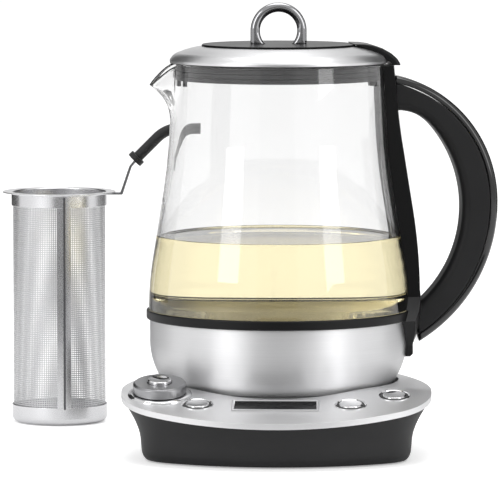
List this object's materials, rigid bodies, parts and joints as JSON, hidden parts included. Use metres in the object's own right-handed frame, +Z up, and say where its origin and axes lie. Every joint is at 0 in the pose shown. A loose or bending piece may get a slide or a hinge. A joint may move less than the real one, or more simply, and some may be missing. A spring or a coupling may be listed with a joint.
{
  "type": "automatic tea maker",
  "caption": "Glass jug with heated steel bowl and lift-off lid on a cordless base with a knob, buttons and display, and a separate mesh strainer beside it",
  "frame": {"origin": "on the table under the jug's vertical axis", "axes": "+Z up, -Y towards the user and the control panel, +X towards the jug's handle, -X towards the spout"},
  "size_m": [0.2821, 0.2554, 0.246],
  "materials": {
    "dark_housing": "satin",
    "brushed_plate": "brushed",
    "dark_plastic": "matte",
    "gloss_black": "gloss",
    "grey_plastic": "satin",
    "knob_plastic": "satin",
    "polished_steel": "polished",
    "cap_plastic": "satin",
    "board_green": "matte",
    "white_plastic": "matte",
    "contact_brass": "polished",
    "soft_rubber": "matte",
    "clear_glass": "clear",
    "display_glass": "gloss",
    "plate_aluminium": "cast",
    "mesh_steel": "woven",
    "silicone_grey": "matte"
  },
  "bodies": {
    "base": {"base_housing": "dark_housing", "base_top_plate": "brushed_plate", "base_bottom_cover": "dark_plastic", "foot_ring": "soft_rubber", "front_feet": "soft_rubber", "cover_screws": "polished_steel", "cord_gland": "soft_rubber", "power_post": "dark_plastic", "post_contacts": "contact_brass", "knob_seat_ring": "polished_steel", "rotary_encoder": "dark_plastic", "lcd_bezel": "polished_steel", "lcd_window": "display_glass", "lcd_module": "grey_plastic", "button_bezels": "polished_steel", "tact_switches": "dark_plastic", "control_board": "board_green", "power_board": "board_green", "heater_relay": "white_plastic"},
    "knob": {"knob_body": "knob_plastic"},
    "start_button": {"start_button": "cap_plastic"},
    "left_button": {"left_button": "cap_plastic"},
    "right_button": {"right_button": "cap_plastic"},
    "side_button": {"side_button": "cap_plastic"},
    "socket": {"jug_socket": "dark_plastic"},
    "jug": {"glass_jug": "clear_glass", "steel_bowl": "brushed_plate", "trim_ring": "dark_plastic", "heater_plate": "brushed_plate", "bottom_gasket": "silicone_grey", "heat_spreader": "plate_aluminium", "heating_element": "plate_aluminium", "temperature_sensor": "polished_steel", "thermostat": "white_plastic", "jug_bottom_cover": "dark_plastic", "handle_strap": "dark_plastic", "grip_inner": "dark_plastic", "grip_outer": "gloss_black"},
    "lid": {"lid_dome": "brushed_plate", "lid_top_disc": "gloss_black", "lid_ring": "polished_steel", "lid_ring_nuts": "polished_steel", "lid_rear_cap": "dark_plastic", "lid_collar": "silicone_grey", "lid_seal": "soft_rubber"},
    "strainer": {"strainer_cup": "mesh_steel", "strainer_mesh": "mesh_steel", "strainer_rim": "mesh_steel", "strainer_seam": "polished_steel", "strainer_handle_strip": "polished_steel", "strainer_grip": "soft_rubber"}
  },
  "joints": [
    {"name": "jug_lift", "type": "slide", "parent": "base", "child": "socket", "axis": [0, 0, 1], "range_m": [0, 0.12]},
    {"name": "jug_turn", "type": "hinge", "parent": "socket", "child": "jug", "pos_m": [0, 0, 0.0372], "axis": [0, 0, 1], "continuous": true},
    {"name": "lid_lift", "type": "slide", "parent": "jug", "child": "lid", "axis": [0, 0, 1], "range_m": [0, 0.06]},
    {"name": "strainer_lift", "type": "slide", "parent": "base", "child": "strainer", "axis": [0, 0, 1], "range_m": [0, 0.15]},
    {"name": "knob_turn", "type": "hinge", "parent": "base", "child": "knob", "pos_m": [-0.063, -0.06, 0.03581], "axis": [0, -0.2136, 0.9769], "continuous": true},
    {"name": "start_press", "type": "slide", "parent": "knob", "child": "start_button", "axis": [0, 0.2136, -0.9769], "range_m": [0, 0.0008], "stiffness_N_per_m": 800, "springref_m": -0.0005},
    {"name": "left_press", "type": "slide", "parent": "base", "child": "left_button", "axis": [0, 0.2136, -0.9769], "range_m": [0, 0.0007], "stiffness_N_per_m": 800, "springref_m": -0.0005},
    {"name": "right_press", "type": "slide", "parent": "base", "child": "right_button", "axis": [0, 0.2136, -0.9769], "range_m": [0, 0.0007], "stiffness_N_per_m": 800, "springref_m": -0.0005},
    {"name": "side_press", "type": "slide", "parent": "base", "child": "side_button", "axis": [0, 0.2136, -0.9769], "range_m": [0, 0.0007], "stiffness_N_per_m": 800, "springref_m": -0.0005}
  ]
}
